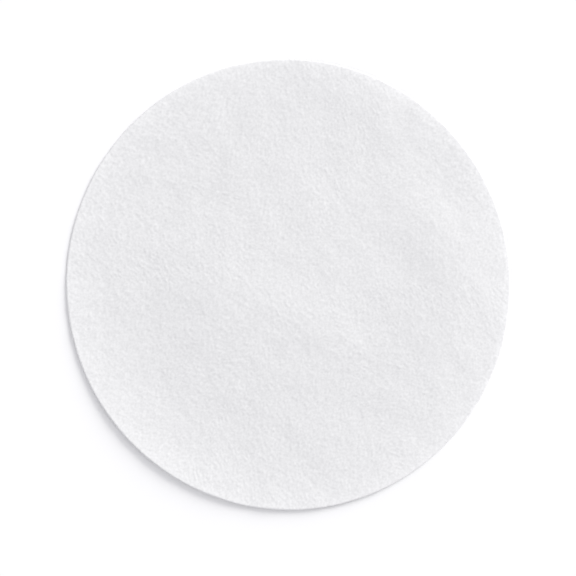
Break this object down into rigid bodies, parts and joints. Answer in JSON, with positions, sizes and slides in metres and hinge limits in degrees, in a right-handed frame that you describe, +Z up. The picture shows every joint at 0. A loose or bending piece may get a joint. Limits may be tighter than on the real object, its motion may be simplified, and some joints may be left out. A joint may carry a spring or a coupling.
{
  "type": "filter paper disc",
  "caption": "Plain round sheet of laboratory filter paper, lying flat with its rim curled up slightly on one side.",
  "frame": {"origin": "centre of the disc, on the surface that it lies on", "axes": "+Z up, normal to the sheet; +X and +Y in the plane of the surface that it lies on"},
  "size_m": [0.09, 0.09, 0.0012],
  "materials": {
    "paper": "uncoated felted cellulose, matt"
  },
  "bodies": {
    "root": {"filter_disc": "paper"}
  },
  "joints": []
}
